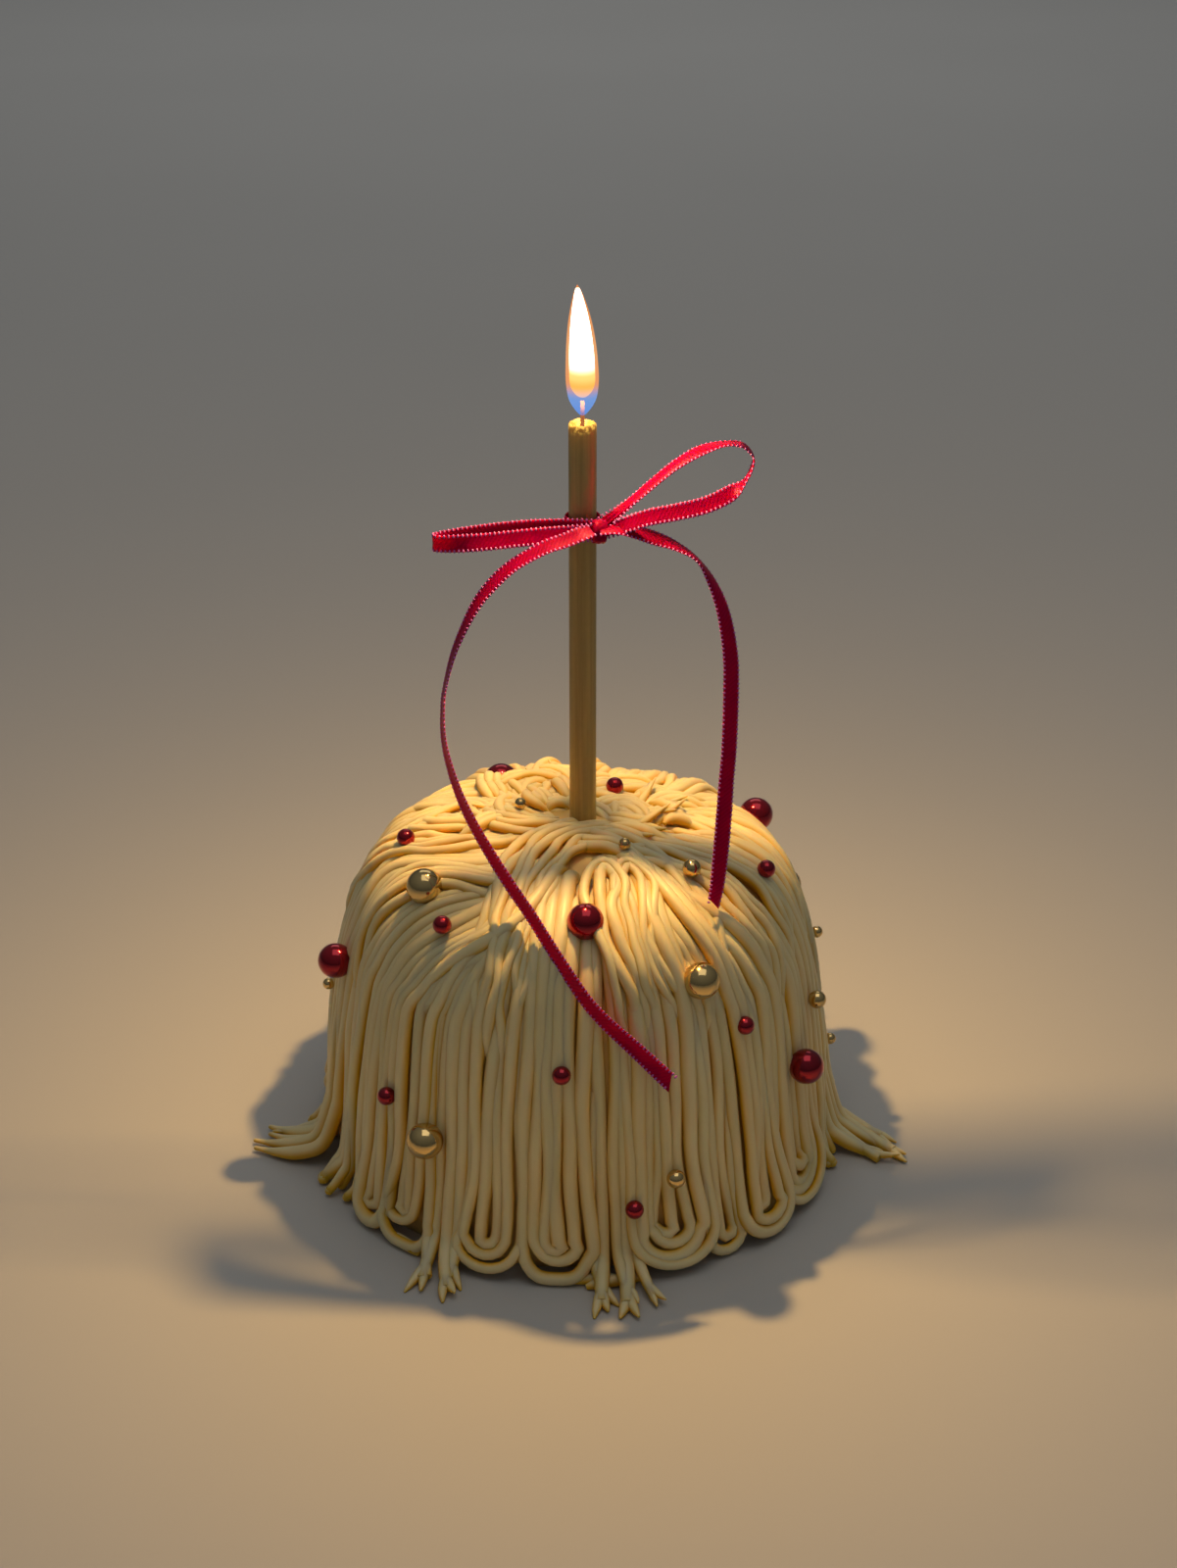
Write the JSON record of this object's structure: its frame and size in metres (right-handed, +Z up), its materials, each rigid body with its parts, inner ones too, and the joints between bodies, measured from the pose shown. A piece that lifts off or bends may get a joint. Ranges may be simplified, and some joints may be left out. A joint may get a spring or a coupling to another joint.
{
  "type": "birthday cake",
  "caption": "Small round birthday cake draped in piped cream strands and sugar pearls, with a lit thin candle and a ribbon bow tied round it",
  "frame": {"origin": "middle of the flat foot that the cake rests on", "axes": "+Z up along the candle, -Y towards the front of the cake, +X to its right"},
  "size_m": [0.1354, 0.1275, 0.1778],
  "materials": {
    "cream": "satin ivory cream",
    "pearl_red": "dark red metallic sugar shell",
    "pearl_gold": "pale gold metallic sugar shell",
    "candle_gold": "satin gold dipped wax",
    "wick": "charred cotton",
    "flame": "glowing",
    "ribbon_red": "satin weave with stitched edges"
  },
  "bodies": {
    "root": {"cake": "cream", "pearl_red_1": "pearl_red", "pearl_red_2": "pearl_red", "pearl_red_3": "pearl_red", "pearl_red_4": "pearl_red", "pearl_red_5": "pearl_red", "pearl_red_6": "pearl_red", "pearl_red_7": "pearl_red", "pearl_gold_1": "pearl_gold", "pearl_gold_2": "pearl_gold", "pearl_gold_3": "pearl_gold", "pearl_gold_4": "pearl_gold", "pearl_gold_5": "pearl_gold", "pearl_gold_6": "pearl_gold", "candle": "candle_gold", "wick": "wick", "flame": "flame", "ribbon_bow": "ribbon_red", "ribbon_tail_left": "ribbon_red", "ribbon_tail_right": "ribbon_red"}
  },
  "joints": []
}
